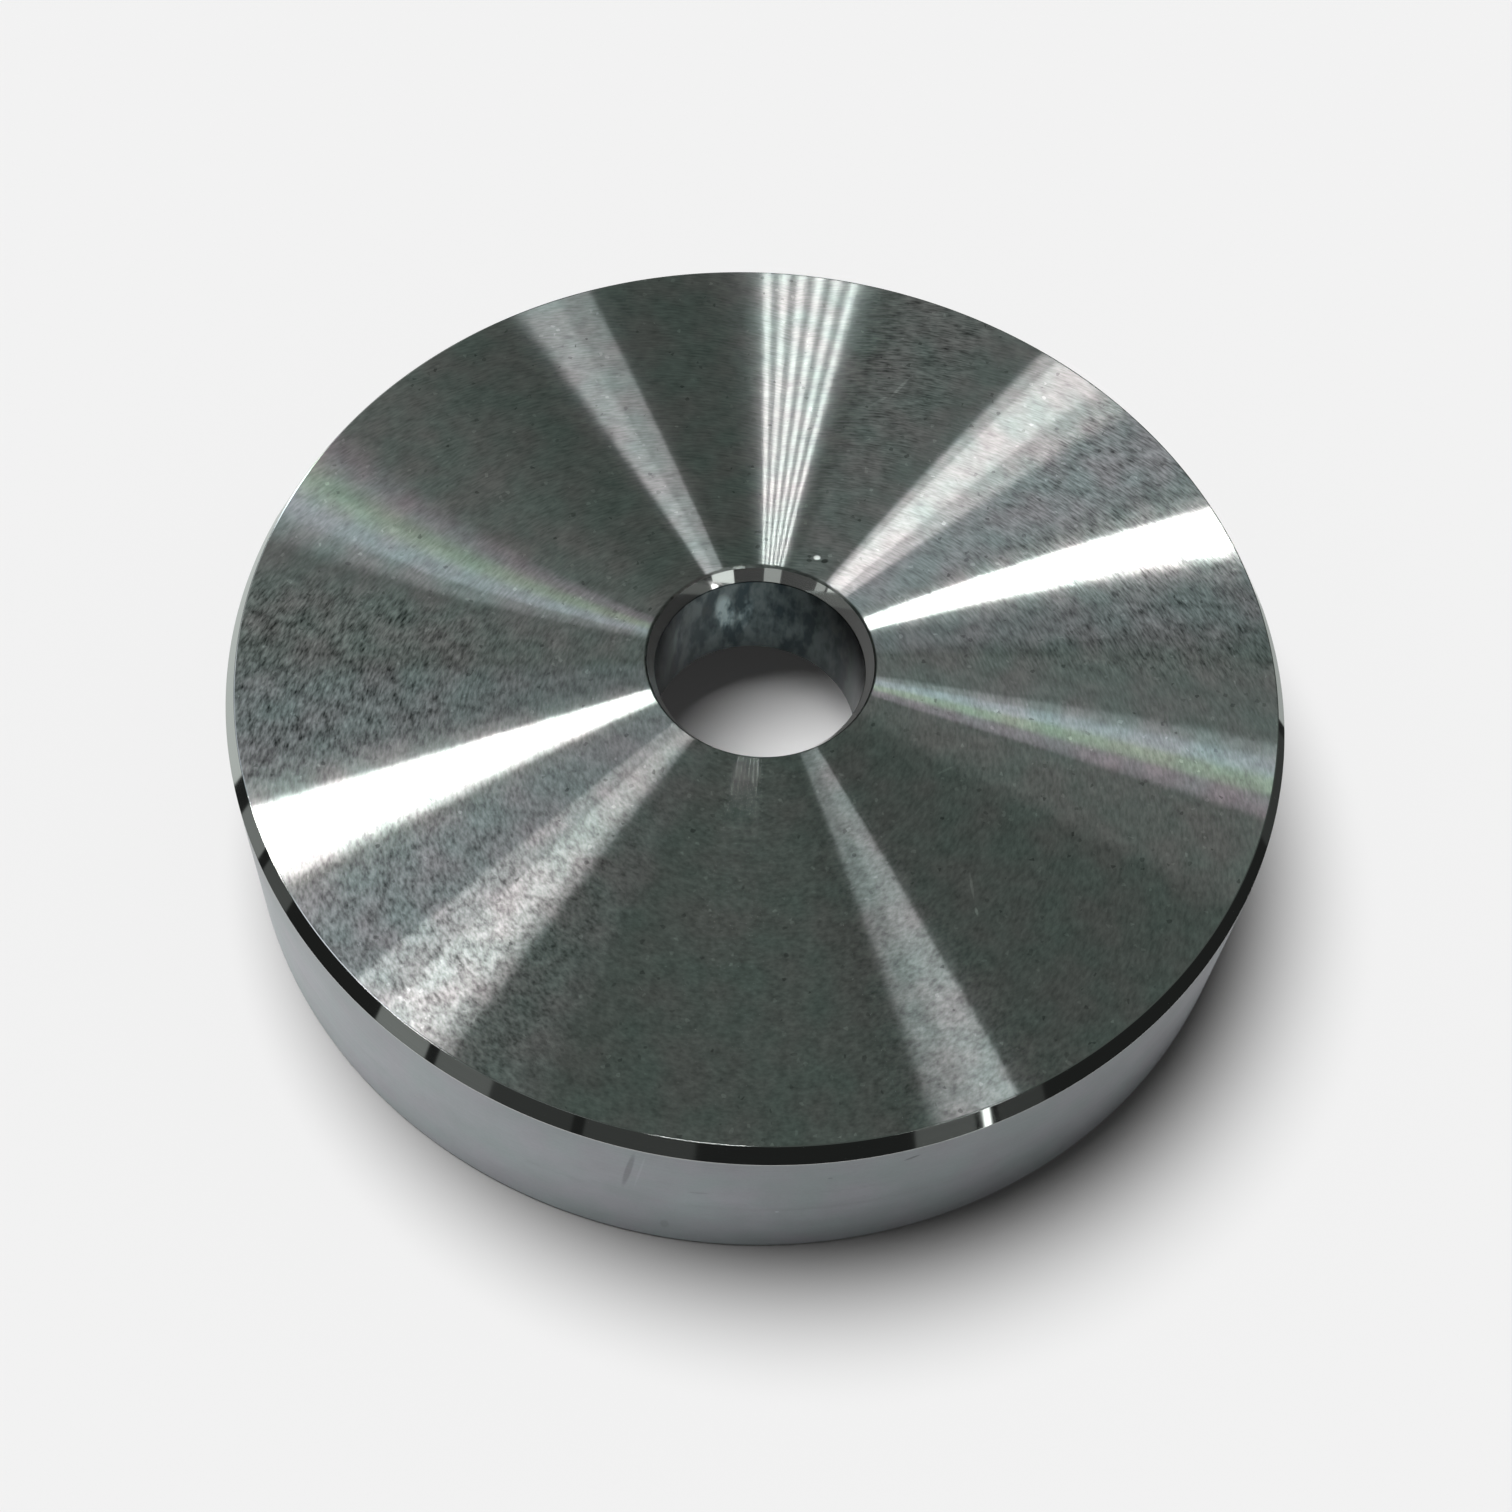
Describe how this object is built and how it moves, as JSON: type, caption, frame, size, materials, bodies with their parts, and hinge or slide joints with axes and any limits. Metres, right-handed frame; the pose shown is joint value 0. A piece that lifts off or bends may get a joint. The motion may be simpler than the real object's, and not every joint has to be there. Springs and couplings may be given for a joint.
{
  "type": "turned disc",
  "caption": "Round turned steel disc with a faced top, a chamfered rim, a through bore with a chamfered mouth and a wider flat-bottomed recess underneath.",
  "frame": {"origin": "centre of the underside, on the lathe axis", "axes": "+Z along the lathe axis, from the recessed underside towards the faced top; X and Y lie in the underside"},
  "size_m": [0.06, 0.06, 0.0128],
  "materials": {
    "turned_steel": "bare steel as turned: faced top with fine concentric tool marks, bright burnished chamfers, smooth satin outer wall, darker bore"
  },
  "bodies": {
    "root": {"turned_disc": "turned_steel"}
  },
  "joints": []
}
